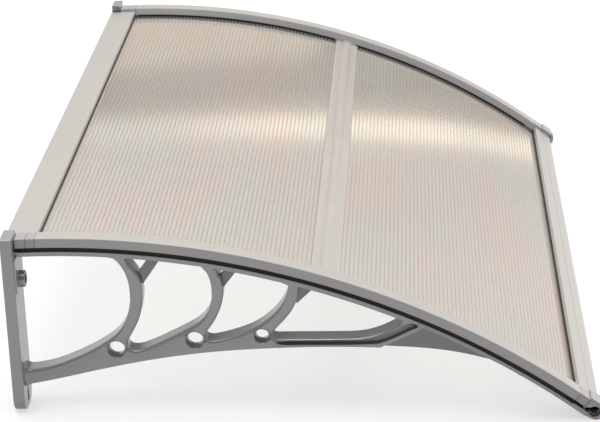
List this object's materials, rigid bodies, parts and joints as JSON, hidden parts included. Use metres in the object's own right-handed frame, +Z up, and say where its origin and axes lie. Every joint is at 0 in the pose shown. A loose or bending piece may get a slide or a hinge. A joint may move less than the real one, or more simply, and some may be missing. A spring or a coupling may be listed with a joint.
{
  "type": "polycarbonate door canopy",
  "caption": "Arched door canopy: clear twin-wall sheets in silver rails, a gutter bar in front, carried on pierced grey wall brackets.",
  "frame": {"origin": "middle of the rear bar's back face, in the plane of the wall", "axes": "+Z up, -Y away from the wall, X along the wall; the wall is the plane Y = 0"},
  "size_m": [1.2, 0.7991, 0.2814],
  "materials": {
    "bracket_plastic": "satin silver-grey moulded plastic",
    "corner_plastic": "satin light silver-grey moulded plastic",
    "aluminium": "satin anodised extrusion",
    "clear_sheet": "clear twin-wall polycarbonate, glossy skins over fine ribs",
    "strip_plastic": "translucent extruded polycarbonate, satin",
    "seal_rubber": "matt black",
    "screw_steel": "zinc plated"
  },
  "bodies": {
    "root": {"bracket_left": "bracket_plastic", "bracket_right": "bracket_plastic", "cover_screw_left_1": "screw_steel", "cover_screw_left_2": "screw_steel", "cover_screw_left_3": "screw_steel", "cover_screw_left_4": "screw_steel", "cover_screw_left_5": "screw_steel", "cover_screw_right_1": "screw_steel", "cover_screw_right_2": "screw_steel", "cover_screw_right_3": "screw_steel", "cover_screw_right_4": "screw_steel", "cover_screw_right_5": "screw_steel", "edge_seal_left": "seal_rubber", "edge_seal_right": "seal_rubber", "front_bar": "aluminium", "front_cap_left": "corner_plastic", "front_cap_right": "corner_plastic", "front_corner_left": "corner_plastic", "front_corner_right": "corner_plastic", "front_seal": "seal_rubber", "front_sheet": "clear_sheet", "joint_strip": "strip_plastic", "rear_bar": "aluminium", "rear_corner_left": "corner_plastic", "rear_corner_right": "corner_plastic", "rear_seal": "seal_rubber", "rear_sheet": "clear_sheet", "side_cover_left": "aluminium", "side_cover_right": "aluminium", "side_seal_left_front": "seal_rubber", "side_seal_left_rear": "seal_rubber", "side_seal_right_front": "seal_rubber", "side_seal_right_rear": "seal_rubber"}
  },
  "joints": []
}
